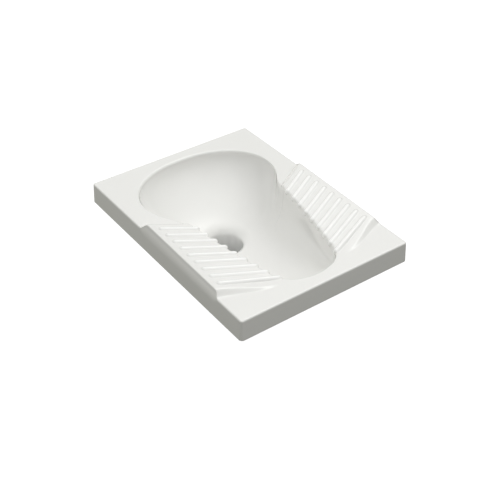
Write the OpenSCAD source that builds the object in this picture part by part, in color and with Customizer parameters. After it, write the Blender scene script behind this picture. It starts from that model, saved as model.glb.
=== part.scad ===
// Squat toilet: a vitreous china pan with ribbed treads, and the trap that hangs on its outlet.
// X runs across the pan, +Y towards the wide back of the bowl, and z = 0 is the floor that
// the skirt stands on.

/* [Skirt and deck] */
// Length of the pan, front to back
pan_length = 600; // [580:5:640]
// Width of the pan
pan_width = 440; // [430:2:470]
// Height of the deck above the floor
deck_height = 50; // [44:1:64]
// How far the skirt flares out towards the floor
skirt_draft = 2.5; // [1:0.5:5]
// Thickness of the skirt
skirt_wall = 13; // [10:1:16]
// Thickness of the deck
deck_wall = 12; // [9:1:14]
// Radius of the upright corners
corner_radius = 6; // [4.5:0.5:12]
// Rounding of the top edge
edge_radius = 5; // [3:0.5:7]

/* [Bowl] */
// Widest part of the bowl
bowl_width = 336; // [310:2:350]
// From the middle of the round back to its end
lobe_length = 125; // [110:1:135]
// Deck left behind the bowl
back_margin = 35; // [30:1:45]
// Deck left in front of the bowl
front_margin = 35; // [30:1:45]
// Width of the channel at the heels
heel_width = 256; // [240:2:268]
// Width of the channel at the toes
toe_width = 162; // [140:2:180]
// Depth of the bowl at the drain, below its lip
drain_depth = 126; // [110:1:132]
// Depth of the floor where it meets the back wall
back_depth = 84; // [70:1:95]
// Depth of the floor where it meets the front wall
front_depth = 78; // [60:1:90]
// From the back end of the bowl to the middle of the drain
drain_setback = 190; // [180:1:200]
// Rounding of the bowl's lip
lip_radius = 7; // [5:0.5:9]
// Thickness of the bowl
bowl_wall = 10; // [8:0.5:12]

/* [Treads] */
// Length of a tread along its outer edge
tread_length = 296; // [270:2:300]
// From the back of the pan to the heel of a tread
tread_setback = 217; // [210:1:230]
// Rise of the tread at its outer heel corner
tread_rise = 17; // [14:0.5:20]
// Fall of the tread towards the bowl, per 100 mm
tread_inward_fall = 10.4; // [8:0.2:12]
// Fall of the tread towards the toes, per 100 mm
tread_forward_fall = 1.75; // [1:0.25:3]
// Angle of the heel edge
heel_angle = 29; // [24:1:32]
// Length of the ramp at the heel
heel_ramp = 16; // [8:1:20]
// Length of the step at the toes
toe_ramp = 5; // [4:0.5:8]
// How far the tread's outer side leans in
tread_lean = 7; // [4:0.5:9]
// Forward sweep of the toe step, halfway to the bowl
toe_sweep = 13; // [6:1:16]

/* [Ribs] */
// Distance from rib to rib
rib_pitch = 27.8; // [26:0.2:32]
// Width of a rib where it leaves the tread
rib_width = 12.4; // [10:0.2:14]
// Height of a rib above the tread
rib_height = 4; // [3:0.25:5]
// Angle of the rib next to the heel
rib_angle = 27; // [22:1:30]
// Change of angle from rib to rib
rib_fan = 0.75; // [0:0.05:1]
// Plain margin outside the ribs
rib_margin = 26; // [22:1:34]
// From the heel corner to the first rib, along the outer edge
rib_start = 48; // [44:1:54]

/* [Outlet] */
// Bore of the outlet
outlet_bore = 84; // [78:1:86]
// Outside diameter of the outlet spigot
spigot_diameter = 100; // [96:1:104]
// Length of the outlet spigot below the bowl
spigot_length = 57; // [54:1:64]
// Rounding of the floor into the outlet
drain_lip = 12; // [8:1:14]

/* [Trap] */
// Outside diameter of the trap's tube
tube_diameter = 80; // [76:1:82]
// Wall of the tube
tube_wall = 3.5; // [3:0.25:4.5]
// Radius of the U-bend, on the middle line
bend_radius = 52; // [52:1:56]
// Radius of the outlet's elbow, on the middle line
elbow_radius = 42; // [42:1:46]
// Depth of the inlet socket
inlet_socket_depth = 38; // [34:1:44]
// Straight drop from the inlet cone to the bend
dip_length = 49; // [49:1:58]
// Length of the cone below the inlet socket
cone_length = 16; // [14:1:22]
// Depth of the welded sockets, where the mouldings are glued together
weld_depth = 12; // [10:1:12]
// Gap round a spigot in a welded socket
weld_gap = 0.1; // [0.05:0.05:0.2]
// Depth of the ring socket that the outlet turns in
swivel_depth = 27; // [27:1:32]
// Depth of the ring socket that takes the drain pipe
socket_depth = 40; // [36:1:46]
// Outside diameter of the drain pipe that the outlet takes
drain_pipe_diameter = 90; // [80:1:92]
// Gap round a push-fit spigot
socket_gap = 0.3; // [0.2:0.05:0.5]
// Width of the rings' groove
groove_width = 12; // [10:0.5:12]
// Depth of the rings' groove
groove_depth = 4; // [3:0.25:4.5]
// How far the bead of a rubber ring stands off its groove
ring_gap = 0.1; // [0.05:0.05:0.2]

/* [Cleaning eye] */
// Bore of the cleaning eye
eye_bore = 46; // [40:1:50]
// Wall of its neck
eye_wall = 4; // [3:0.5:5]
// Reach of the neck from the middle of the tube
eye_reach = 62; // [56:1:70]
// Thickness of the cap's end
cap_thickness = 5; // [4:0.5:7]
// Depth of the cap's skirt
cap_depth = 17; // [14:1:20]
// Wall of the cap's skirt
cap_wall = 3.5; // [3:0.5:5]
// Grip ribs on the cap
cap_grips = 12; // [8:2:16]
// Thickness of the flat washer under the cap
washer_thickness = 2.5; // [2:0.5:4]

/* [Hidden] */
$fn = 96;

half_w = pan_width / 2;
half_l = pan_length / 2;

// Bowl outline: a round back lobe that runs into a tapered channel with a rounded front end.
bowl_back_y = half_l - back_margin;
bowl_front_y = -half_l + front_margin;
lobe_y = bowl_back_y - lobe_length;
lobe_power = 2.1;
drain_y = bowl_back_y - drain_setback;
heel_y = half_l - tread_setback;
toe_y = heel_y - tread_length;
front_cap = 50;
front_cap_power = 2.6;
blend = 20;
channel_bow = 0.00026;
channel_head = 38;
channel_top_y = heel_y - channel_head;
channel_fall = (heel_width - toe_width) / 2 / (channel_top_y - toe_y)
               - channel_bow * (channel_top_y - toe_y);

function soft_max(a, b, k) = (a + b + sqrt((a - b) * (a - b) + k * k)) / 2;
function clamp01(v) = max(0, min(1, v));
function lobe_half(y) =
    let (r = abs(y - lobe_y) / lobe_length)
    r >= 1 ? 0 : bowl_width / 2 * pow(1 - pow(r, lobe_power), 1 / lobe_power);
function channel_half(y) =
    let (d = max(0, channel_top_y - y),
         open = heel_width / 2 - channel_fall * d - channel_bow * d * d,
         tip = clamp01((bowl_front_y + front_cap - y) / front_cap),
         back = clamp01((y - lobe_y) / lobe_length))
    open * pow(1 - pow(tip, front_cap_power), 1 / front_cap_power) * sqrt(1 - back * back);
function bowl_half(y) =
    let (a = lobe_half(y), b = channel_half(y), k = blend * min(1, min(a, b) / blend))
    soft_max(a, b, k);

// Bowl surface: sections across the channel, hung on a middle line that falls to the drain.
// t is the offset of the outer face from the glazed inner face.
section_power = 2.5;
floor_power = 1.4;
back_power = 3;
front_power = 4;
lip_z = deck_height - lip_radius;
function to_inner(y, t) =
    y > drain_y ? drain_y + (y - drain_y) * (bowl_back_y - drain_y) / (bowl_back_y + t - drain_y)
                : drain_y + (y - drain_y) * (drain_y - bowl_front_y) / (drain_y - bowl_front_y + t);
function line_depth(y) =
    y > drain_y
    ? let (r = clamp01((y - drain_y) / (bowl_back_y - drain_y)))
      (drain_depth + (back_depth - drain_depth) * pow(r, floor_power))
      * pow(1 - pow(r, back_power), 1 / back_power)
    : let (r = clamp01((drain_y - y) / (drain_y - bowl_front_y)))
      (drain_depth + (front_depth - drain_depth) * pow(r, floor_power))
      * pow(1 - pow(r, front_power), 1 / front_power);
function bowl_z(x, y, t) =
    let (yi = to_inner(y, t),
         half = bowl_half(yi) + t,
         q = clamp01(abs(x) / max(half, 0.01)))
    lip_z - (line_depth(yi) + t) * pow(1 - pow(q, section_power), 1 / section_power);

// Rise of the tread above the deck. It falls towards the bowl and the toes, and fades out there.
tread_corner_inset = 2;
tread_corner_x = half_w - tread_corner_inset - tread_lean;
function tread_height(x, y) =
    max(0, tread_rise + tread_inward_fall / 100 * (abs(x) - tread_corner_x)
           + tread_forward_fall / 100 * (y - heel_y + heel_ramp));

// The pan is one skin that runs round a closed section: bowl, lip, deck, edge, skirt, underside
// and spigot. Each column of the skin joins a point of the bowl's outline to a point of the rim.
edge_total = pan_width + pan_length;
inner_heel_y = heel_y - (half_w - heel_width / 2) * tan(heel_angle);
inner_toe_inset = 15;
inner_toe_ramp = 4;
inner_toe_y = bowl_front_y + inner_toe_inset;
lobe_turn = acos((inner_heel_y - lobe_y) / lobe_length);
heel_d = half_w + half_l - heel_y;
toe_d = half_w + half_l - toe_y;
back_corner_d = half_w - corner_radius;
front_corner_d = edge_total - half_w - corner_radius;

// Columns along each stretch of the rim, and rows down each stretch of the section.
back_columns = 11;
corner_columns = 4;
lobe_side_columns = 9;
tread_columns = 14;
toe_side_columns = 3;
front_columns = 6;
bowl_rows = 14;
outer_bowl_rows = 7;
deck_rows = 4;
arc_step = 30;

// Even steps from a to b, without b.
function steps(a, b, count) = [for (i = [0:count - 1]) a + (b - a) * i / count];
function corner_steps(d) = steps(d, d + 2 * corner_radius, corner_columns);
back_ds = concat(steps(0, back_corner_d, back_columns), corner_steps(back_corner_d),
                 steps(back_corner_d + 2 * corner_radius, heel_d, lobe_side_columns), [heel_d]);
front_ds = concat(steps(toe_d, front_corner_d, toe_side_columns), corner_steps(front_corner_d),
                  steps(front_corner_d + 2 * corner_radius, edge_total, front_columns), [edge_total]);

// A column: y of the outline, distance along the rim from the back, and share of the tread's rise.
function back_column(d) = [lobe_y + lobe_length * cos(lobe_turn * d / heel_d), d, 0];
function tread_column(s) =
    [inner_heel_y - heel_ramp / 2
     + (inner_toe_y + inner_toe_ramp - inner_heel_y + heel_ramp / 2) * s,
     heel_d + heel_ramp + (toe_d - toe_ramp - heel_d - heel_ramp) * s, 1];
function front_column(d) =
    [inner_toe_y - (inner_toe_y - bowl_front_y) * sin(90 * (d - toe_d) / (edge_total - toe_d)), d, 0];
half_columns = concat(
    [for (d = back_ds) back_column(d)],
    [for (i = [0:tread_columns]) tread_column(i / tread_columns)],
    [for (d = front_ds) front_column(d)]);
half_count = len(half_columns);
columns = concat(
    [for (c = half_columns) [c[0], c[1], c[2], 1]],
    [for (i = [half_count - 2:-1:1]) concat(half_columns[i], [-1])]);
column_count = len(columns);

// A point of the skirt's outline at distance d from the back, moved in by inset.
least_corner = 4;
function edge_point(d, inset) =
    let (r = max(corner_radius - inset, least_corner),
         cx = half_w - inset - r,
         cy = half_l - inset - r,
         sx = cx / (half_w - corner_radius),
         sy = cy / (half_l - corner_radius),
         near = d <= edge_total / 2,
         e = near ? d : edge_total - d,
         turn = 45 * clamp01((e - half_w + corner_radius) / corner_radius / 2) * 2,
         p = e < half_w - corner_radius ? [e * sx, half_l - inset]
           : e > half_w + corner_radius ? [half_w - inset, (half_l + half_w - e) * sy]
           : [cx + r * sin(turn), cy + r * cos(turn)])
    near ? p : [p[0], -p[1]];

// A point of the bowl's outline, moved out by t.
function rim_point(c, t) =
    let (y = c[0] > drain_y
             ? drain_y + (c[0] - drain_y) * (bowl_back_y + t - drain_y) / (bowl_back_y - drain_y)
             : drain_y + (c[0] - drain_y) * (drain_y - bowl_front_y + t) / (drain_y - bowl_front_y))
    [bowl_half(c[0]) + t * (bowl_half(c[0]) > 0.01 ? 1 : 0), y];

// Direction from the bowl's outline to the rim, in plan.
function outward(c) =
    let (v = edge_point(c[1], 0) - rim_point(c, 0)) v / norm(v);
function rise(c, p) = c[2] * tread_height(p[0], p[1]);

function lip_row(c, turn) =
    let (p = rim_point(c, 0) + outward(c) * lip_radius * (1 - cos(turn)))
    [p[0], p[1], lip_z + lip_radius * sin(turn) + rise(c, p)];

// The tread's lines sweep forward towards the toes.
function toe_share(c) =
    c[1] < toe_d ? clamp01((c[1] - heel_d) / (toe_d - heel_d))
                 : clamp01(1 - (c[1] - toe_d) / (front_corner_d - toe_d));
function bulge(s) = s * (1 - s) * (1 - s) * 27 / 4;
function sweep(c, s) = [0, -toe_sweep * toe_share(c) * bulge(s)];
function deck_row(c, s) =
    let (a = rim_point(c, 0) + outward(c) * lip_radius,
         p = a + (edge_point(c[1], edge_radius + tread_lean * c[2]) - a) * s + sweep(c, s))
    [p[0], p[1], deck_height + rise(c, p)];
function edge_row(c, turn) =
    let (p = edge_point(c[1], edge_radius * (1 - sin(turn)) + tread_lean * c[2]))
    [p[0], p[1], deck_height - edge_radius * (1 - cos(turn)) + rise(c, p)];
function skirt_row(c, inset, z) =
    let (p = edge_point(c[1], inset)) [p[0], p[1], z];
function under_row(c, s) =
    let (a = rim_point(c, bowl_wall),
         p = a + (edge_point(c[1], skirt_wall) - a) * s)
    [p[0], p[1], deck_height - deck_wall + rise(c, p)];

// Points of a ring round the drain, each in line with its column.
function drain_turn(c) = atan2(c[0] - drain_y, max(bowl_half(c[0]), 0.001));
function ring_point(c, r) =
    let (a = drain_turn(c), x = r * cos(a)) [bowl_half(c[0]) < 0.01 ? 0 : x, drain_y + r * sin(a)];
function bowl_row(c, s, t, r) =
    let (a = rim_point(c, t), b = ring_point(c, r), p = a + (b - a) * s)
    [p[0], p[1], s == 0 ? lip_z + (t > 0 ? 0 : rise(c, p)) : bowl_z(p[0], p[1], t)];
function drain_row(c, r, z) = let (p = ring_point(c, r)) [p[0], p[1], z];

drain_r = outlet_bore / 2;
spigot_r = spigot_diameter / 2;
drain_edge_z = lip_z - drain_depth;
spigot_bottom = drain_edge_z - bowl_wall - spigot_length;

lip_foot_z = drain_edge_z - drain_lip / 2;

// Shares of the way down the bowl, close together where the wall is steep.
function shares(count, power) = [for (i = [1:count]) pow(i / count, power)];
bowl_shares = shares(bowl_rows, 2.2);
outer_bowl_shares = shares(outer_bowl_rows, 2);

// The floor of the bowl rolls over into the outlet.
function drain_lip_row(c, turn) =
    let (p = ring_point(c, drain_r + drain_lip * (1 - cos(turn))), share = sin(turn))
    [p[0], p[1], lip_foot_z * (1 - share) + bowl_z(p[0], p[1], 0) * share];

// The skirt runs on below the floor, and its foot is cut flat there.
foot_trim = 4;
foot_flare = skirt_draft * (1 + foot_trim / (deck_height - edge_radius));

function mirror_of(p, side) = [side * p[0], p[1], p[2]];
pan_rows = [
    for (z = [spigot_bottom, lip_foot_z]) [for (c = columns) drain_row(c, drain_r, z)],
    for (turn = [arc_step, 2 * arc_step]) [for (c = columns) drain_lip_row(c, turn)],
    for (i = [bowl_rows - 1:-1:0])
        [for (c = columns) bowl_row(c, bowl_shares[i], 0, drain_r + drain_lip)],
    for (turn = [0:arc_step:90]) [for (c = columns) lip_row(c, turn)],
    for (i = [1:deck_rows - 1]) [for (c = columns) deck_row(c, i / deck_rows)],
    for (turn = [0:25:75]) [for (c = columns) edge_row(c, turn)],
    [for (c = columns) skirt_row(c, 0, deck_height - edge_radius)],
    [for (c = columns) skirt_row(c, -foot_flare, -foot_trim)],
    [for (c = columns) skirt_row(c, skirt_wall - skirt_draft, -foot_trim)],
    for (s = [1, 0.5, 0]) [for (c = columns) under_row(c, s)],
    for (s = outer_bowl_shares) [for (c = columns) bowl_row(c, s, bowl_wall, spigot_r)],
    [for (c = columns) drain_row(c, spigot_r, spigot_bottom)]
];

module skin(rows) {
    count = len(rows[0]);
    points = [for (row = rows) for (i = [0:count - 1]) mirror_of(row[i], columns[i][3])];
    polyhedron(points, [
        for (r = [0:len(rows) - 1]) for (i = [0:count - 1])
            let (a = r * count, b = ((r + 1) % len(rows)) * count, j = (i + 1) % count)
            each [[a + i, b + j, a + j], [a + i, b + i, b + j]]]);
}

// What is cut off the skirt's foot: a frame that passes outside the bowl.
module foot_cut() {
    reach = 2 * skirt_wall;
    translate([0, 0, -2 * foot_trim]) linear_extrude(2 * foot_trim) difference() {
        square([pan_width + reach, pan_length + reach], center = true);
        square([pan_width - 3 * skirt_wall, pan_length - 3 * skirt_wall], center = true);
    }
}

// A rib is a round bar sunk into the tread, with round ends.
rib_radius = (rib_height * rib_height + rib_width * rib_width / 4) / 2 / rib_height;
rib_count = floor((tread_length - rib_start - toe_ramp - rib_width) / rib_pitch) + 1;
rib_x = half_w - rib_margin;
function rib_outer(i) = [rib_x, heel_y - rib_start - rib_pitch * i];
function rib_inner(i, step = 0) =
    let (o = rib_outer(i), a = rib_angle - rib_fan * i,
         p = [o[0] - step * cos(a), o[1] - step * sin(a)])
    step > rib_x || p[0] < bowl_half(p[1]) + rib_radius / 2 ? p : rib_inner(i, step + 0.5);
function on_tread(p) =
    [p[0], p[1], deck_height + tread_height(p[0], p[1]) + rib_height - rib_radius];

// Rings along the bar, each as [end of the bar, angle on the round end]. Each ring is open below.
rib_end_angles = [70, 35, 0];
rib_rings = concat([for (a = rib_end_angles) [0, -a]], [for (i = [2:-1:0]) [1, rib_end_angles[i]]]);
rib_sides = 10;
rib_half_arc = 126;

module rib(i) {
    a = on_tread(rib_outer(i));
    b = on_tread(rib_inner(i));
    v = b - a;
    count = rib_sides + 1;
    last = len(rib_rings) - 1;
    points = [for (ring = rib_rings) for (j = [0:rib_sides])
        let (turn = rib_half_arc * (2 * j / rib_sides - 1), r = rib_radius * cos(ring[1]))
        [-r * cos(turn), r * sin(turn), ring[0] * norm(v) + rib_radius * sin(ring[1])]];
    sides = [for (r = [0:last - 1]) for (j = [0:rib_sides])
        let (k = (j + 1) % count, o = r * count, q = o + count)
        each [[o + j, o + k, q + k], [o + j, q + k, q + j]]];
    translate(a) rotate([0, acos(v[2] / norm(v)), atan2(v[1], v[0])])
        polyhedron(points, concat(sides, [
            [for (j = [rib_sides:-1:0]) j],
            [for (j = [0:rib_sides]) last * count + j]]));
}

china = [0.93, 0.94, 0.93];
plastic = [0.80, 0.81, 0.81];
rubber = [0.16, 0.16, 0.17];

module pan() {
    color(china) {
        difference() {
            skin(pan_rows);
            foot_cut();
        }
        for (i = [0:rib_count - 1]) {
            rib(i);
            mirror([1, 0, 0]) rib(i);
        }
    }
}

// Trap: heights and places that follow from the pan's spigot.
tube_r = tube_diameter / 2;
bore_r = tube_r - tube_wall;
sleeve_wall = 6;
sleeve_flange = 4;
sleeve_chamfer = 3;
spigot_drop = 6;
inlet_step = 3;
socket_r = spigot_r + sleeve_wall;
collar_r = socket_r + sleeve_flange;
socket_foot_z = spigot_bottom - spigot_drop;
socket_top_z = socket_foot_z + inlet_socket_depth;
dip_top_z = socket_foot_z - cone_length;
bend_z = dip_top_z - dip_length;
rise_y = drain_y + 2 * bend_radius;
weld_r = tube_r + weld_gap;
mouth_gap = 2;
foot_gap = 1.5;
rise_neck = 0.5;
outlet_neck = 10;
rise_length = rise_neck + 2 * tube_wall + weld_depth;
fall_length = dip_length - mouth_gap;
swivel_foot_z = bend_z + rise_length + mouth_gap / 2 + tube_wall;
swivel_top_z = swivel_foot_z + swivel_depth;
outlet_z = swivel_top_z + mouth_gap + elbow_radius;
outlet_foot_y = rise_y + elbow_radius + outlet_neck;
push_r = tube_r + socket_gap;
drain_socket_r = drain_pipe_diameter / 2 + socket_gap;
eye_r = eye_bore / 2 + eye_wall;
eye_z = bend_z;
eye_face_y = drain_y - eye_reach;
groove_inset = 8;
bead_half = 2;
bead_slope = 1;

// How far a cut runs past the face that it opens.
past = 1;

module at_drain() translate([0, drain_y, 0]) children();
module at_rise() translate([0, rise_y, 0]) children();

// A socket of bore r, from its foot up, with a groove for a ring near the mouth and a neck below.
module socket(r, depth, neck) {
    g0 = depth - groove_inset - groove_width;
    g1 = depth - groove_inset;
    wall = tube_wall;
    out = r + groove_depth;
    rotate_extrude() polygon([
        [r, 0], [r, g0], [out, g0], [out, g1], [r, g1], [r, depth],
        [r + wall, depth], [out + wall, g1 + wall], [out + wall, g0 - wall], [r + wall, g0 - 2 * wall],
        [r + wall, -wall], [tube_r, -wall], [tube_r, -wall - neck], [bore_r, -wall - neck],
        [bore_r, 0]]);
}

// A rubber ring that fills the groove and stands a little into the bore.
module ring(r, depth) {
    g0 = depth - groove_inset - groove_width + ring_gap;
    g1 = depth - groove_inset - ring_gap;
    out = r + groove_depth - ring_gap;
    bead = (g0 + g1) / 2;
    color(rubber) rotate_extrude() polygon([
        [r - ring_gap, bead - bead_half], [r + bead_slope, g0], [out, g0],
        [out, g1], [r + bead_slope, g1], [r - ring_gap, bead + bead_half]]);
}

// A quarter of a bend: a tube of radius r on an arc of radius sweep_r.
module quarter_bend(sweep_r, r) rotate_extrude(angle = 90) translate([sweep_r, 0]) circle(r);
module tube(r, h) cylinder(h = h, r = r);

// The outside of a straight leg, from z = 0 up, which widens into a welded socket at its top.
module leg_shell(length) {
    seat = length - weld_depth;
    wide = weld_r + tube_wall;
    rotate_extrude() polygon([
        [0, 0], [tube_r, 0], [tube_r, seat - 2 * tube_wall], [wide, seat - tube_wall],
        [wide, length], [0, length]]);
}

// The way through that leg, with the step that the spigot's end rests on.
module leg_hollow(length) {
    seat = length - weld_depth;
    rotate_extrude() polygon([
        [0, 0], [bore_r, 0], [bore_r, seat], [weld_r, seat], [weld_r, length + past],
        [0, length + past]]);
}

// The U-bend, in two quarters, from the falling leg to the rising one.
module u_bend(r) {
    translate([0, drain_y + bend_radius, bend_z]) rotate([-90, 0, 90]) {
        quarter_bend(bend_radius, r);
        rotate([0, 0, 90]) quarter_bend(bend_radius, r);
    }
}

module outlet_sleeve() {
    r0 = spigot_r + ring_gap;
    r1 = socket_r - ring_gap;
    top = socket_top_z + sleeve_flange;
    foot = spigot_bottom + mouth_gap;
    color(rubber) at_drain() rotate_extrude() polygon([
        [r0, foot + sleeve_chamfer], [r0 + bead_half, foot], [r1 - bead_slope, foot],
        [r1, foot + sleeve_chamfer], [r1, socket_top_z], [collar_r, socket_top_z],
        [collar_r, top - bead_slope], [collar_r - bead_slope, top], [r0, top]]);
}

// The reducer under the pan: a wide socket for the sleeve, a cone, and a spigot into the bend.
module trap_inlet() {
    end_z = bend_z + fall_length - weld_depth;
    color(plastic) at_drain() rotate_extrude() polygon([
        [socket_r, socket_top_z], [collar_r, socket_top_z], [collar_r, socket_foot_z - tube_wall],
        [tube_r, dip_top_z], [tube_r, end_z], [bore_r, end_z], [bore_r, dip_top_z],
        [spigot_r - inlet_step, socket_foot_z], [socket_r, socket_foot_z]]);
}

module at_neck() translate([0, drain_y, eye_z]) rotate([90, 0, 0]) children();

// The U-bend with a welded socket on each leg and the cleaning eye's neck at its heel.
module trap_bend() {
    color(plastic) difference() {
        union() {
            translate([0, 0, bend_z]) {
                at_drain() leg_shell(fall_length);
                at_rise() leg_shell(rise_length);
            }
            u_bend(tube_r);
            at_neck() tube(eye_r, eye_reach);
        }
        translate([0, 0, bend_z]) {
            at_drain() leg_hollow(fall_length);
            at_rise() leg_hollow(rise_length);
        }
        u_bend(bore_r);
        at_neck() tube(eye_bore / 2, eye_reach + past);
    }
}

module at_swivel() translate([0, rise_y, swivel_foot_z]) children();

module swivel_socket() {
    color(plastic) at_swivel() socket(push_r, swivel_depth, weld_depth + mouth_gap / 2);
}

module swivel_ring() at_swivel() ring(push_r, swivel_depth);

// The outlet's elbow, from its upright leg to its level one.
module outlet_elbow(r) {
    translate([0, rise_y + elbow_radius, outlet_z - elbow_radius]) rotate([90, 0, 90])
        rotate([0, 0, 90]) quarter_bend(elbow_radius, r);
}

module at_outlet() translate([0, outlet_foot_y, outlet_z]) rotate([-90, 0, 0]) children();

module outlet_bend() {
    foot = swivel_foot_z + foot_gap;
    rise = outlet_z - elbow_radius - foot;
    color(plastic) {
        difference() {
            union() {
                at_rise() translate([0, 0, foot]) tube(tube_r, rise);
                outlet_elbow(tube_r);
            }
            at_rise() translate([0, 0, foot - past]) tube(bore_r, rise + past);
            outlet_elbow(bore_r);
        }
        at_outlet() socket(drain_socket_r, socket_depth, outlet_neck - tube_wall);
    }
}

module drain_ring() at_outlet() ring(drain_socket_r, socket_depth);

module at_eye() translate([0, eye_face_y, eye_z]) rotate([90, 0, 0]) children();

module eye_washer() {
    color(rubber) at_eye() difference() {
        tube(eye_r, washer_thickness);
        translate([0, 0, -past]) tube(eye_bore / 2, washer_thickness + 2 * past);
    }
}

grip_radius = 1.8;
handle_width = 7;
handle_height = 8;

module eye_cap() {
    r = eye_r + socket_gap + cap_wall;
    end = washer_thickness + cap_thickness;
    color(plastic) at_eye() {
        difference() {
            union() {
                translate([0, 0, end - cap_depth]) tube(r, cap_depth);
                for (i = [0:cap_grips - 1]) rotate([0, 0, i * 360 / cap_grips])
                    translate([r, 0, end - cap_depth + grip_radius])
                        tube(grip_radius, cap_depth - 2 * grip_radius);
            }
            translate([0, 0, -cap_depth]) tube(eye_r + socket_gap, cap_depth + washer_thickness);
        }
        translate([-eye_bore / 2, -handle_width / 2, end - past])
            cube([eye_bore, handle_width, handle_height + past]);
    }
}

pan();
outlet_sleeve();
trap_inlet();
trap_bend();
swivel_socket();
swivel_ring();
outlet_bend();
drain_ring();
eye_washer();
eye_cap();
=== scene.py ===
import math

import bpy
import numpy as np
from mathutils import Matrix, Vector


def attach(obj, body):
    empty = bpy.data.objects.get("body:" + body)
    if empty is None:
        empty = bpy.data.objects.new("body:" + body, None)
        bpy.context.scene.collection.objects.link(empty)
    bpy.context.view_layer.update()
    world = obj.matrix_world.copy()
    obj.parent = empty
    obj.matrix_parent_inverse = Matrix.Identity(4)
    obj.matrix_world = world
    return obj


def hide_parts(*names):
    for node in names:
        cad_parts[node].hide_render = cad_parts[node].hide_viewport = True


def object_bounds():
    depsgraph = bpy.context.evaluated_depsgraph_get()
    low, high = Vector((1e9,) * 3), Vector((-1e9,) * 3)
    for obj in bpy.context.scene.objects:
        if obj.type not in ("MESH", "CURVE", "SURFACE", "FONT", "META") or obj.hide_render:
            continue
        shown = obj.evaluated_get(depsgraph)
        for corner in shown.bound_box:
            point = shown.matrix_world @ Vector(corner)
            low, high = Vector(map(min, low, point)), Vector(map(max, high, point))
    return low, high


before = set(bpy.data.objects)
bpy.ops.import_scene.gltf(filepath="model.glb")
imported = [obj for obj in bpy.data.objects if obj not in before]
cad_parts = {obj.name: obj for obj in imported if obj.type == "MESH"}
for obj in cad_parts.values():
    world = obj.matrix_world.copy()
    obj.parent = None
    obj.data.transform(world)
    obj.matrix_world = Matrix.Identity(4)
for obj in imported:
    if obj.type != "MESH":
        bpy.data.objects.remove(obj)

cad_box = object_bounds()
MM = 0.001

# Sizes of the pan, in millimetres. They are the CAD part's, apart from EDGE_RADIUS (5 there),
# DRAIN_LIP (12 there) and the GENTLE_ values, which the CAD part doesn't have.
PAN_LENGTH, PAN_WIDTH, DECK_HEIGHT = 600.0, 440.0, 50.0
SKIRT_DRAFT, SKIRT_WALL, DECK_WALL = 2.5, 13.0, 12.0
CORNER_RADIUS, LEAST_CORNER, EDGE_RADIUS = 6.0, 4.0, 3.8
BOWL_WIDTH, LOBE_LENGTH, BACK_MARGIN, FRONT_MARGIN = 336.0, 125.0, 35.0, 35.0
HEEL_WIDTH, TOE_WIDTH = 256.0, 162.0
DRAIN_DEPTH, BACK_DEPTH, FRONT_DEPTH, DRAIN_SETBACK = 126.0, 84.0, 78.0, 190.0
LIP_RADIUS, BOWL_WALL = 7.0, 10.0
TREAD_LENGTH, TREAD_SETBACK, TREAD_RISE = 296.0, 217.0, 17.0
INWARD_FALL, FORWARD_FALL = 0.104, 0.0175
HEEL_ANGLE, HEEL_RAMP, TOE_RAMP, TREAD_LEAN, TOE_SWEEP = 29.0, 16.0, 5.0, 7.0, 13.0
RIB_PITCH, RIB_WIDTH, RIB_HEIGHT, RIB_ANGLE, RIB_FAN = 27.8, 12.4, 4.0, 27.0, 0.75
RIB_MARGIN, RIB_START, RIB_COUNT, RIB_FILLET = 26.0, 48.0, 9, 2.2
OUTLET_R, SPIGOT_R, SPIGOT_LENGTH, DRAIN_LIP = 42.0, 50.0, 57.0, 20.0

HALF_W, HALF_L = PAN_WIDTH / 2, PAN_LENGTH / 2
BACK_Y = HALF_L - BACK_MARGIN
FRONT_Y = -HALF_L + FRONT_MARGIN
LOBE_Y = BACK_Y - LOBE_LENGTH
LOBE_POWER = 2.1
DRAIN_Y = BACK_Y - DRAIN_SETBACK
HEEL_Y = HALF_L - TREAD_SETBACK
TOE_Y = HEEL_Y - TREAD_LENGTH
FRONT_CAP, FRONT_CAP_POWER = 50.0, 2.6
BLEND, CHANNEL_BOW, CHANNEL_HEAD = 20.0, 0.00026, 38.0
CHANNEL_TOP_Y = HEEL_Y - CHANNEL_HEAD
CHANNEL_FALL = ((HEEL_WIDTH - TOE_WIDTH) / 2 / (CHANNEL_TOP_Y - TOE_Y)
                - CHANNEL_BOW * (CHANNEL_TOP_Y - TOE_Y))
SECTION_POWER, FLOOR_POWER, BACK_POWER, FRONT_POWER = 2.5, 1.4, 3.0, 4.0

# The glazed face of the bowl's wide back slopes more gently than the face outside it. Each pair is
# a curve's power and outer exponent. The change comes in over GENTLE_OVER from GENTLE_FROM.
GENTLE_LINE, GENTLE_SECTION = (2.4, 0.62), (2.2, 0.7)
GENTLE_FROM, GENTLE_OVER = 30.0, 90.0

LIP_Z = DECK_HEIGHT - LIP_RADIUS
TREAD_CORNER_INSET, INNER_TOE_INSET, INNER_TOE_RAMP = 2.0, 15.0, 4.0
TREAD_CORNER_X = HALF_W - TREAD_CORNER_INSET - TREAD_LEAN
EDGE_TOTAL = PAN_WIDTH + PAN_LENGTH
INNER_HEEL_Y = HEEL_Y - (HALF_W - HEEL_WIDTH / 2) * math.tan(math.radians(HEEL_ANGLE))
INNER_TOE_Y = FRONT_Y + INNER_TOE_INSET
LOBE_TURN = math.acos((INNER_HEEL_Y - LOBE_Y) / LOBE_LENGTH)
HEEL_D = HALF_W + HALF_L - HEEL_Y
TOE_D = HALF_W + HALF_L - TOE_Y
BACK_CORNER_D = HALF_W - CORNER_RADIUS
FRONT_CORNER_D = EDGE_TOTAL - HALF_W - CORNER_RADIUS
DRAIN_EDGE_Z = LIP_Z - DRAIN_DEPTH
LIP_FOOT_Z = DRAIN_EDGE_Z - DRAIN_LIP / 2
SPIGOT_BOTTOM = DRAIN_EDGE_Z - BOWL_WALL - SPIGOT_LENGTH
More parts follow.
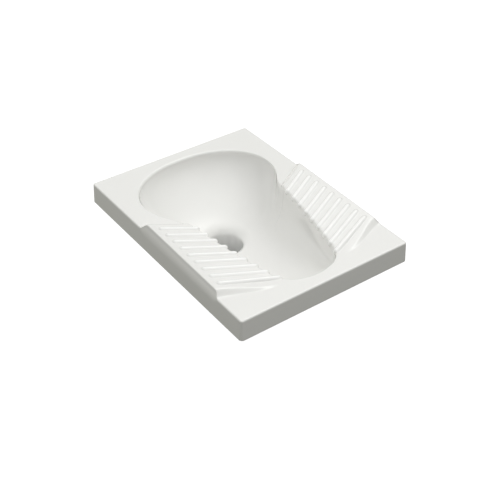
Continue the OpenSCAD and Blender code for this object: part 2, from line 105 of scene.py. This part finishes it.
RIB_R = (RIB_HEIGHT ** 2 + RIB_WIDTH ** 2 / 4) / 2 / RIB_HEIGHT
TREAD_FILLET, LEAN_FILLET, FOOT_TOP = 2.0, 9.0, 1.2
HEEL_SOFTNESS, TOE_SOFTNESS = 0.16, 0.35


def clamp01(v):
    return np.clip(v, 0.0, 1.0)


def fillet_max(a, b, k):
    """The larger of a and b, with a fillet of about k where they cross."""
    return np.maximum(a, b) + np.maximum(k - np.abs(a - b), 0.0) ** 2 / (4 * k)


def soft_step(t, k):
    """0 to 1 along a straight ramp with rounded ends."""
    return 0.5 * (1 + np.sqrt(t * t + k * k) - np.sqrt((t - 1) ** 2 + k * k))


def lobe_half(y):
    r = clamp01(np.abs(y - LOBE_Y) / LOBE_LENGTH)
    return BOWL_WIDTH / 2 * (1 - r ** LOBE_POWER) ** (1 / LOBE_POWER)


def channel_half(y):
    d = np.maximum(0, CHANNEL_TOP_Y - y)
    open_ = HEEL_WIDTH / 2 - CHANNEL_FALL * d - CHANNEL_BOW * d * d
    tip = clamp01((FRONT_Y + FRONT_CAP - y) / FRONT_CAP)
    back = clamp01((y - LOBE_Y) / LOBE_LENGTH)
    return open_ * (1 - tip ** FRONT_CAP_POWER) ** (1 / FRONT_CAP_POWER) * np.sqrt(1 - back * back)


def bowl_half(y):
    a, b = lobe_half(y), channel_half(y)
    k = BLEND * np.minimum(1, np.minimum(a, b) / BLEND)
    return (a + b + np.sqrt((a - b) ** 2 + k * k)) / 2


def line_depth(y, glazed):
    """Depth of the bowl along its middle line. The glazed face falls more gently from the back."""
    power, share = GENTLE_LINE if glazed else (BACK_POWER, 1 / BACK_POWER)
    back = clamp01((y - DRAIN_Y) / (BACK_Y - DRAIN_Y))
    front = clamp01((DRAIN_Y - y) / (DRAIN_Y - FRONT_Y))
    deep_back = ((DRAIN_DEPTH + (BACK_DEPTH - DRAIN_DEPTH) * back ** FLOOR_POWER)
                 * (1 - back ** power) ** share)
    deep_front = ((DRAIN_DEPTH + (FRONT_DEPTH - DRAIN_DEPTH) * front ** FLOOR_POWER)
                  * (1 - front ** FRONT_POWER) ** (1 / FRONT_POWER))
    return np.where(y > DRAIN_Y, deep_back, deep_front)


def bowl_z(x, y, t):
    """Height of the bowl's glazed face, or with t of the face that lies t outside it."""
    scale = np.where(y > DRAIN_Y, (BACK_Y - DRAIN_Y) / (BACK_Y + t - DRAIN_Y),
                     (DRAIN_Y - FRONT_Y) / (DRAIN_Y - FRONT_Y + t))
    inner = DRAIN_Y + (y - DRAIN_Y) * scale
    q = clamp01(np.abs(x) / np.maximum(bowl_half(inner) + t, 0.01))
    gentle = clamp01((y - GENTLE_FROM) / GENTLE_OVER) if t == 0 else np.zeros_like(q)
    gentle = gentle * gentle * (3 - 2 * gentle)
    power = SECTION_POWER + (GENTLE_SECTION[0] - SECTION_POWER) * gentle
    share = 1 / SECTION_POWER + (GENTLE_SECTION[1] - 1 / SECTION_POWER) * gentle
    return LIP_Z - (line_depth(inner, t == 0) + t) * (1 - q ** power) ** share


def tread_plane(p):
    return (TREAD_RISE + INWARD_FALL * (np.abs(p[..., 0]) - TREAD_CORNER_X)
            + FORWARD_FALL * (p[..., 1] - HEEL_Y + HEEL_RAMP))


def tread_height(p):
    return fillet_max(tread_plane(p), 0.0, TREAD_FILLET)


def edge_point(d, inset):
    """A point of the skirt's outline, d along it from the back's middle, moved in by inset."""
    r = np.maximum(CORNER_RADIUS - inset, LEAST_CORNER)
    cx, cy = HALF_W - inset - r, HALF_L - inset - r
    e = np.where(d <= EDGE_TOTAL / 2, d, EDGE_TOTAL - d)
    turn = math.pi / 2 * clamp01((e - HALF_W + CORNER_RADIUS) / CORNER_RADIUS / 2)
    x = np.where(e < HALF_W - CORNER_RADIUS, e * cx / (HALF_W - CORNER_RADIUS),
                 np.where(e > HALF_W + CORNER_RADIUS, HALF_W - inset, cx + r * np.sin(turn)))
    y = np.where(e < HALF_W - CORNER_RADIUS, HALF_L - inset,
                 np.where(e > HALF_W + CORNER_RADIUS,
                          (HALF_L + HALF_W - e) * cy / (HALF_L - CORNER_RADIUS),
                          cy + r * np.cos(turn)))
    return np.stack([x, np.where(d <= EDGE_TOTAL / 2, y, -y)], -1)


def spread(marks):
    """Values from mark to mark, each stretch cut into its own number of steps."""
    parts = [np.linspace(a, b, n, endpoint=False) for (a, n), (b, _) in zip(marks, marks[1:])]
    return np.concatenate(parts + [[marks[-1][0]]])


# Columns of the skin: how far each is along the rim, and where it starts on the bowl's outline.
half_d = spread([(0, 56), (BACK_CORNER_D, 10), (BACK_CORNER_D + 2 * CORNER_RADIUS, 54),
                 (HEEL_D - 4, 30), (HEEL_D + HEEL_RAMP + 4, 220), (TOE_D - TOE_RAMP - 4, 28),
                 (TOE_D + 4, 20), (FRONT_CORNER_D, 10),
                 (FRONT_CORNER_D + 2 * CORNER_RADIUS, 50), (EDGE_TOTAL, 0)])
back_y = LOBE_Y + LOBE_LENGTH * np.cos(LOBE_TURN * clamp01(half_d / HEEL_D))
front_y = INNER_TOE_Y - (INNER_TOE_Y - FRONT_Y) * np.sin(
    math.pi / 2 * clamp01((half_d - TOE_D) / (EDGE_TOTAL - TOE_D)))
tread_y = np.interp(half_d, [HEEL_D, HEEL_D + HEEL_RAMP, TOE_D - TOE_RAMP, TOE_D],
                    [INNER_HEEL_Y, INNER_HEEL_Y - HEEL_RAMP / 2, INNER_TOE_Y + INNER_TOE_RAMP,
                     INNER_TOE_Y])
half_y = np.where(half_d < HEEL_D, back_y, np.where(half_d > TOE_D, front_y, tread_y))
half_share = (soft_step((half_d - HEEL_D) / HEEL_RAMP, HEEL_SOFTNESS)
              * (1 - soft_step((half_d - TOE_D + TOE_RAMP) / TOE_RAMP, TOE_SOFTNESS)))
mirrored = np.arange(len(half_d) - 2, 0, -1)
order = np.concatenate([np.arange(len(half_d)), mirrored])
side = np.concatenate([np.ones(len(half_d)), -np.ones(len(mirrored))])
D, Y0, SHARE = half_d[order], half_y[order], half_share[order]


def rim_point(t):
    half = bowl_half(Y0)
    y = np.where(Y0 > DRAIN_Y,
                 DRAIN_Y + (Y0 - DRAIN_Y) * (BACK_Y + t - DRAIN_Y) / (BACK_Y - DRAIN_Y),
                 DRAIN_Y + (Y0 - DRAIN_Y) * (DRAIN_Y - FRONT_Y + t) / (DRAIN_Y - FRONT_Y))
    return np.stack([half + t * (half > 0.01), y], -1)


def ring_point(r):
    half = bowl_half(Y0)
    a = np.arctan2(Y0 - DRAIN_Y, np.maximum(half, 0.001))
    return np.stack([np.where(half < 0.01, 0, r * np.cos(a)), DRAIN_Y + r * np.sin(a)], -1)


OUTWARD = edge_point(D, 0.0) - rim_point(0.0)
OUTWARD /= np.linalg.norm(OUTWARD, axis=-1, keepdims=True)
TOE_SHARE = np.where(D < TOE_D, clamp01((D - HEEL_D) / (TOE_D - HEEL_D)),
                     clamp01(1 - (D - TOE_D) / (FRONT_CORNER_D - TOE_D)))


def at(p, z):
    return np.concatenate([p, np.broadcast_to(z, p.shape[:1])[:, None]], -1)


def rise(p):
    return SHARE * tread_height(p)


def lip_row(turn):
    p = rim_point(0.0) + OUTWARD * LIP_RADIUS * (1 - math.cos(turn))
    return at(p, LIP_Z + LIP_RADIUS * math.sin(turn) + rise(p))


def deck_row(s):
    a = rim_point(0.0) + OUTWARD * LIP_RADIUS
    p = a + (edge_point(D, EDGE_RADIUS + TREAD_LEAN * SHARE) - a) * s
    p[:, 1] -= TOE_SWEEP * TOE_SHARE * s * (1 - s) ** 2 * 27 / 4
    return at(p, DECK_HEIGHT + rise(p))


def edge_row(turn):
    p = edge_point(D, EDGE_RADIUS * (1 - math.sin(turn)) + TREAD_LEAN * SHARE)
    return at(p, DECK_HEIGHT - EDGE_RADIUS * (1 - math.cos(turn)) + rise(p))


def skirt_row(v):
    """v runs from 0 under the rounded edge to 1 just above the foot."""
    base = DECK_HEIGHT - EDGE_RADIUS
    top = edge_row(math.pi / 2)[:, 2]
    z = top + (FOOT_TOP - top) * v
    soft = LEAN_FILLET * SHARE + 0.01
    lean = TREAD_LEAN * SHARE / np.maximum(fillet_max(top - base, 0.0, soft), 0.01)
    inset = lean * fillet_max(z - base, 0.0, soft) - SKIRT_DRAFT * clamp01(1 - z / base)
    return at(edge_point(D, inset), z)


def foot_row(inset, z):
    return at(edge_point(D, inset - SKIRT_DRAFT), z)


def under_row(s):
    a = rim_point(BOWL_WALL)
    p = a + (edge_point(D, SKIRT_WALL) - a) * s
    return at(p, DECK_HEIGHT - DECK_WALL + rise(p))


def bowl_row(s, t, r, lift=0.0):
    a, b = rim_point(t), ring_point(r)
    p = a + (b - a) * s
    return at(p, bowl_z(p[:, 0], p[:, 1], t) + lift * rise(a))


def drain_lip_row(turn):
    p = ring_point(OUTLET_R + DRAIN_LIP * (1 - math.cos(turn)))
    share = math.sin(turn)
    return at(p, LIP_FOOT_Z * (1 - share) + bowl_z(p[:, 0], p[:, 1], 0.0) * share)


def quarter(n, first=0, last=None):
    return [math.pi / 2 * i / n for i in range(first, n + 1 if last is None else last)]


# Rows of the skin: from the spigot's mouth up through the bowl and out to the skirt's foot, then
# back under the deck, round the outside of the bowl and down to the mouth again.
BOWL_ROWS, DECK_ROWS, LIFT_ROWS, SKIRT_ROWS, OUTER_ROWS = 60, 60, 7, 14, 22
throat = [at(ring_point(OUTLET_R), z) for z in np.linspace(SPIGOT_BOTTOM, LIP_FOOT_Z, 5)[:-1]]
drain_lip = [drain_lip_row(turn) for turn in quarter(8, 0, 8)]
bowl = [bowl_row((i / BOWL_ROWS) ** 3, 0.0, OUTLET_R + DRAIN_LIP, max(0.0, 1 - i / LIFT_ROWS))
        for i in range(BOWL_ROWS, 0, -1)]
lip = [lip_row(turn) for turn in quarter(9)]
deck = [deck_row(i / DECK_ROWS) for i in range(1, DECK_ROWS)]
edge = [edge_row(turn) for turn in quarter(7, 0, 7)]
skirt = [skirt_row(i / SKIRT_ROWS) for i in range(SKIRT_ROWS + 1)]
glazed = throat + drain_lip + bowl + lip + deck + edge + skirt
foot = [foot_row(0.15, 0.4), foot_row(0.9, 0.0), foot_row(SKIRT_WALL - 1.0, 0.0),
        foot_row(SKIRT_WALL, 1.0), foot_row(SKIRT_WALL, 14.0)]
under = [under_row(s) for s in (1.0, 0.93, 0.66, 0.33, 0.06)]
outside = [bowl_row((i / OUTER_ROWS) ** 2.2, BOWL_WALL, SPIGOT_R)
           for i in range(1, OUTER_ROWS + 1)]
spigot = [at(ring_point(SPIGOT_R), z) for z in (SPIGOT_BOTTOM + 30, SPIGOT_BOTTOM + 1.5)]
mouth = [at(ring_point(r), SPIGOT_BOTTOM) for r in (SPIGOT_R - 1.0, OUTLET_R + 1.0)]
skin = np.stack(glazed + foot + under + outside + spigot + mouth)
skin[..., 0] *= side


def grid_normals(p):
    across = np.roll(p, -1, 1) - np.roll(p, 1, 1)
    down = np.roll(p, -1, 0) - np.roll(p, 1, 0)
    n = np.cross(across, down)
    return n / np.maximum(np.linalg.norm(n, axis=-1, keepdims=True), 1e-9)


def rib_axis(i):
    """Ends of a rib's middle line, sunk under the tread so that RIB_HEIGHT of it stands proud."""
    a = math.radians(RIB_ANGLE - RIB_FAN * i)
    outer = np.array([HALF_W - RIB_MARGIN, HEEL_Y - RIB_START - RIB_PITCH * i])
    steps = np.arange(0, 150, 0.5)[:, None]
    line = outer - steps * np.array([math.cos(a), math.sin(a)])
    inner = line[np.argmax(line[:, 0] < bowl_half(line[:, 1]) + RIB_R / 2)]
    ends = np.array([outer, inner])
    z = DECK_HEIGHT + np.maximum(tread_plane(ends), 0) + RIB_HEIGHT - RIB_R
    return np.column_stack([ends, z])


# Stands for "no rib here": far enough below the skin that the fillet doesn't reach it.
NO_PUSH = -9.0


def raise_ribs(p, n):
    """The skin pushed out along its normals to the round bars that lie in it, and how much of a
    rib's height each point has."""
    mirror = np.ones_like(p)
    mirror[..., 0] = np.where(p[..., 0] < 0, -1, 1)
    p1, n1 = p * mirror, n * mirror
    push = np.full(p.shape[:-1], NO_PUSH)
    for i in range(RIB_COUNT):
        a, b = rib_axis(i)
        v = b - a
        share = clamp01(((p1 - a) @ v) / (v @ v))
        u = p1 - (a + share[..., None] * v)
        un = (u * n1).sum(-1)
        gap = un * un - (u * u).sum(-1) + RIB_R ** 2
        t = np.where(gap > 0, np.sqrt(np.maximum(gap, 0)) - un, NO_PUSH)
        push = np.maximum(push, np.where(np.linalg.norm(u, axis=-1) < 3 * RIB_R, t, NO_PUSH))
    return p + n * (fillet_max(push, 0.0, RIB_FILLET))[..., None], clamp01(push / RIB_HEIGHT)


# The rows that ribs can reach: the top of the bowl, the lip, the deck and the edge.
RIBBED_BOWL_ROWS = 15
top = slice(len(throat + drain_lip + bowl) - RIBBED_BOWL_ROWS, len(glazed) - len(skirt))
rib_share = np.zeros(skin.shape[:2])
skin[top], rib_share[top] = raise_ribs(skin[top], grid_normals(skin)[top])


def torus_mesh(name, p, second_from):
    """A closed skin whose rows and columns both run round. Rows from second_from on take the
    second material."""
    m, n = p.shape[:2]
    r, c = np.meshgrid(np.arange(m), np.arange(n), indexing="ij")
    r2, c2 = (r + 1) % m, (c + 1) % n
    quads = np.stack([r * n + c, r * n + c2, r2 * n + c2, r2 * n + c], -1).reshape(-1, 4)
    mesh = bpy.data.meshes.new(name)
    mesh.from_pydata((p.reshape(-1, 3) * MM).tolist(), [], quads.tolist())
    mesh.polygons.foreach_set("use_smooth", np.ones(len(quads), bool))
    mesh.polygons.foreach_set("material_index", (r.reshape(-1) >= second_from).astype(np.int32))
    mesh.update()
    obj = bpy.data.objects.new(name, mesh)
    bpy.context.collection.objects.link(obj)
    return obj


class Nodes:
    """Short calls for a node material."""

    def __init__(self, name):
        self.mat = bpy.data.materials.new(name)
        self.mat.use_nodes = True
        self.tree = self.mat.node_tree
        self.bsdf = self.tree.nodes["Principled BSDF"]
        self.place = self.add("ShaderNodeTexCoord").outputs["Object"]

    def add(self, kind, **values):
        """A new node, with its sockets and settings set by name."""
        node = self.tree.nodes.new(kind)
        for key, value in values.items():
            if key in node.inputs:
                node.inputs[key].default_value = value
            else:
                setattr(node, key, value)
        return node

    def link(self, a, b):
        self.tree.links.new(a, b)

    def noise(self, scale, detail=2.0, rough=0.5):
        node = self.add("ShaderNodeTexNoise", Scale=scale, Detail=detail, Roughness=rough)
        self.link(self.place, node.inputs["Vector"])
        return node.outputs["Fac"]

    def ramp(self, value, stops):
        node = self.add("ShaderNodeValToRGB")
        while len(node.color_ramp.elements) < len(stops):
            node.color_ramp.elements.new(0.5)
        for element, (place, colour) in zip(node.color_ramp.elements, stops):
            element.position = place
            element.color = (*colour, 1) if isinstance(colour, tuple) else (colour,) * 3 + (1,)
        self.link(value, node.inputs["Fac"])
        return node.outputs["Color"]

    def colour(self, fac, a, b):
        """Colour a, going over to b with fac."""
        node = self.add("ShaderNodeMix", data_type="RGBA", blend_type="MIX")
        sockets = [s for s in node.inputs if s.type == "RGBA"]
        factor = [s for s in node.inputs if s.name == "Factor" and s.type == "VALUE"][0]
        for value, socket in ((fac, factor), (a, sockets[0]), (b, sockets[1])):
            if isinstance(value, bpy.types.NodeSocket):
                self.link(value, socket)
            else:
                socket.default_value = (*value, 1) if isinstance(value, tuple) else value
        return [s for s in node.outputs if s.type == "RGBA"][0]

    def bump(self, heights):
        last = None
        for value, strength, distance in heights:
            node = self.add("ShaderNodeBump", Strength=strength, Distance=distance)
            self.link(value, node.inputs["Height"])
            if last:
                self.link(last, node.inputs["Normal"])
            last = node.outputs["Normal"]
        self.link(last, self.bsdf.inputs["Normal"])

    def set(self, **values):
        for key, value in values.items():
            socket = self.bsdf.inputs[key.replace("_", " ")]
            if isinstance(value, bpy.types.NodeSocket):
                self.link(value, socket)
            else:
                socket.default_value = value
        return self.mat


def glaze_material():
    m = Nodes("white_glaze")
    cloud = m.ramp(m.noise(5.0, 3.0), [(0.35, (0.905, 0.905, 0.885)), (0.65, (0.918, 0.918, 0.90))])
    specks = m.ramp(m.noise(900.0, 1.0), [(0.78, 0.0), (0.82, 1.0)])
    rough = m.ramp(m.noise(14.0, 3.0), [(0.3, 0.055), (0.7, 0.10)])
    m.bump([(m.noise(22.0, 2.0), 0.10, 0.002), (m.noise(420.0, 1.0), 0.03, 0.0002)])
    height = m.add("ShaderNodeSeparateXYZ")
    m.link(m.place, height.inputs["Vector"])
    # Painted light: the glaze is made lighter deep in the drain, for light that the lamps here
    # don't give.
    painted_drain_light = m.add("ShaderNodeMapRange", interpolation_type="SMOOTHSTEP",
                 **{"From Min": -0.078, "From Max": -0.096})
    m.link(height.outputs["Z"], painted_drain_light.inputs["Value"])
    cloud = m.colour(painted_drain_light.outputs["Result"], cloud, (0.985, 0.985, 0.97))
    # Painted highlight: the glaze is made lighter on the rib tops, by how much of a rib's height
    # each point has.
    rib_height = m.add("ShaderNodeAttribute", attribute_name="rib").outputs["Fac"]
    rib = m.ramp(rib_height, [(0.1, 0.0), (0.6, 1.0)])
    cloud = m.colour(rib, cloud, (0.985, 0.985, 0.975))
    return m.set(Base_Color=m.colour(specks, cloud, (0.60, 0.59, 0.56)), Roughness=rough,
                 Coat_Weight=0.8, Coat_Roughness=0.03, IOR=1.5)


def biscuit_material():
    m = Nodes("bare_china")
    cloud = m.ramp(m.noise(18.0, 4.0), [(0.3, (0.62, 0.60, 0.55)), (0.7, (0.70, 0.685, 0.64))])
    grain = m.ramp(m.noise(700.0, 3.0), [(0.35, 0.55), (0.65, 0.8)])
    m.bump([(m.noise(60.0, 4.0), 0.35, 0.001), (m.noise(900.0, 3.0), 0.25, 0.0003)])
    return m.set(Base_Color=cloud, Roughness=grain)


def plastic_material(name, dark, light, rough):
    m = Nodes(name)
    cloud = m.ramp(m.noise(12.0, 4.0), [(0.3, dark), (0.7, light)])
    scuffs = m.ramp(m.noise(55.0, 5.0, 0.7), [(0.42, rough - 0.07), (0.62, rough + 0.08)])
    m.bump([(m.noise(30.0, 2.0), 0.08, 0.001), (m.noise(1600.0, 2.0), 0.15, 0.0001)])
    return m.set(Base_Color=cloud, Roughness=scuffs)


def rubber_material():
    m = Nodes("rubber_seal")
    cloud = m.ramp(m.noise(40.0, 4.0), [(0.3, (0.018, 0.018, 0.020)), (0.7, (0.034, 0.034, 0.036))])
    dust = m.ramp(m.noise(300.0, 3.0), [(0.4, 0.55), (0.7, 0.75)])
    m.bump([(m.noise(1200.0, 2.0), 0.3, 0.0002)])
    return m.set(Base_Color=cloud, Roughness=dust)


pan = torus_mesh("china_pan", skin, len(glazed))
pan.data.attributes.new("rib", "FLOAT", "POINT").data.foreach_set("value", rib_share.reshape(-1))
pan.data.materials.append(glaze_material())
pan.data.materials.append(biscuit_material())
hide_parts("pan")
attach(pan, "pan_and_trap")

trap_plastic = plastic_material("trap_plastic", (0.52, 0.535, 0.54), (0.60, 0.615, 0.61), 0.38)
cap_plastic = plastic_material("cap_plastic", (0.29, 0.31, 0.325), (0.36, 0.38, 0.39), 0.42)
rubber = rubber_material()
finishes = {"trap_inlet": trap_plastic, "trap_bend": trap_plastic, "swivel_socket": trap_plastic,
            "outlet_bend": trap_plastic, "eye_cap": cap_plastic, "outlet_sleeve": rubber,
            "swivel_ring": rubber, "drain_ring": rubber, "eye_washer": rubber}
for node, material in finishes.items():
    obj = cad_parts[node]
    for material_slot in obj.material_slots:
        material_slot.material = material

# Camera, solved from the pan's straight edges in the photograph.
azimuth, elevation = math.radians(-35.90), math.radians(37.65)
backward = Vector((math.sin(azimuth) * math.cos(elevation),
                   -math.cos(azimuth) * math.cos(elevation), math.sin(elevation)))
camera_data = bpy.data.cameras.new("camera")
camera_data.lens = 70.03
camera_data.sensor_width = 36.0
camera = bpy.data.objects.new("camera", camera_data)
camera.location = (-1.0342, -1.4540, 1.3175)
camera.rotation_euler = (-backward).to_track_quat("-Z", "Y").to_euler()
bpy.context.collection.objects.link(camera)
bpy.context.scene.camera = camera
bpy.context.scene.view_settings.view_transform = "Standard"


# Soft lights round the object: azimuth from +X, elevation, sharpness and strength of each. The
# strengths are fitted, so that the render's tones come near the photograph's.
SOFT_LIGHTS = [
    (0, 90, 7, 0.45), (0, 58, 7, 0.07), (120, 58, 7, 0.31), (180, 58, 7, 0.32), (240, 58, 7, 0.60),
    (300, 58, 7, 0.57), (0, 28, 7, 0.28), (80, 28, 7, 0.24), (280, 28, 7, 0.05), (320, 28, 7, 0.30),
    (20, 0, 7, 0.08), (60, 0, 7, 0.31), (100, 0, 7, 0.78), (180, 0, 7, 0.24),
    (30, 57, 25, 2.6), (308, 41, 25, 0.18),
]
FILL_LIGHT = 0.10


def studio_world():
    """Soft lights from above and from the sides, as large diffusers in a dim room."""
    world = bpy.data.worlds.new("studio")
    world.use_nodes = True
    tree = world.node_tree
    ground = tree.nodes["Background"]
    place = tree.nodes.new("ShaderNodeTexCoord").outputs["Generated"]
    height = tree.nodes.new("ShaderNodeSeparateXYZ")
    tree.links.new(place, height.inputs["Vector"])
    tint = tree.nodes.new("ShaderNodeValToRGB")
    for element, at_z, colour in zip(tint.color_ramp.elements, (0.1, 0.6),
                                     ((1.0, 1.0, 0.90, 1), (1.0, 1.0, 0.99, 1))):
        element.position, element.color = at_z, colour
    tree.links.new(height.outputs["Z"], tint.inputs["Fac"])
    tree.links.new(tint.outputs["Color"], ground.inputs["Color"])

    def math_node(operation, first, second=0.0, third=0.0):
        """The output of a Math node. Numbers are set on it and sockets linked to it."""
        node = tree.nodes.new("ShaderNodeMath")
        node.operation = operation
        for socket, value in zip(node.inputs, (first, second, third)):
            if isinstance(value, float):
                socket.default_value = value
            else:
                tree.links.new(value, socket)
        return node.outputs["Value"]

    total = FILL_LIGHT
    for azimuth, elevation, sharpness, strength in SOFT_LIGHTS:
        turn, tilt = math.radians(azimuth), math.radians(elevation)
        dot = tree.nodes.new("ShaderNodeVectorMath")
        dot.operation = "DOT_PRODUCT"
        dot.inputs[1].default_value = (math.cos(tilt) * math.cos(turn),
                                       math.cos(tilt) * math.sin(turn), math.sin(tilt))
        tree.links.new(place, dot.inputs[0])
        near = math_node("MULTIPLY_ADD", dot.outputs["Value"], float(sharpness), -float(sharpness))
        total = math_node("MULTIPLY_ADD", math_node("EXPONENT", near), strength, total)
    tree.links.new(total, ground.inputs["Strength"])
    bpy.context.scene.world = world


def backdrop(z, radius, height):
    """A white floor that curves up into a wall. Only the camera sees it, so it lights nothing."""
    bend, turns, arcs, hole = 2.0, 96, 12, 0.001
    profile = [(hole, z), (radius - bend, z)]
    profile += [(radius - bend + bend * math.sin(a), z + bend * (1 - math.cos(a)))
                for a in (math.pi / 2 * i / arcs for i in range(1, arcs + 1))]
    profile.append((radius, height))
    points = [(r * math.cos(2 * math.pi * i / turns), r * math.sin(2 * math.pi * i / turns), h)
              for r, h in profile for i in range(turns)]
    quads = [(j * turns + i, j * turns + (i + 1) % turns, (j + 1) * turns + (i + 1) % turns,
              (j + 1) * turns + i) for j in range(len(profile) - 1) for i in range(turns)]
    mesh = bpy.data.meshes.new("floor")
    mesh.from_pydata(points, [], quads)
    obj = bpy.data.objects.new("floor", mesh)
    bpy.context.collection.objects.link(obj)
    obj.visible_diffuse = obj.visible_glossy = obj.visible_shadow = False
    m = Nodes("lit_white")
    m.set(Base_Color=(0.1, 0.1, 0.1, 1), Roughness=0.9, Emission_Color=(1, 1, 1, 1),
          Emission_Strength=1.0)
    mesh.materials.append(m.mat)
    return obj


studio_world()
FLOOR_GAP, BACKDROP_RADIUS, BACKDROP_HEIGHT = 0.005, 8.0, 9.0
floor = backdrop(cad_box[0][2] - FLOOR_GAP, BACKDROP_RADIUS, BACKDROP_HEIGHT)
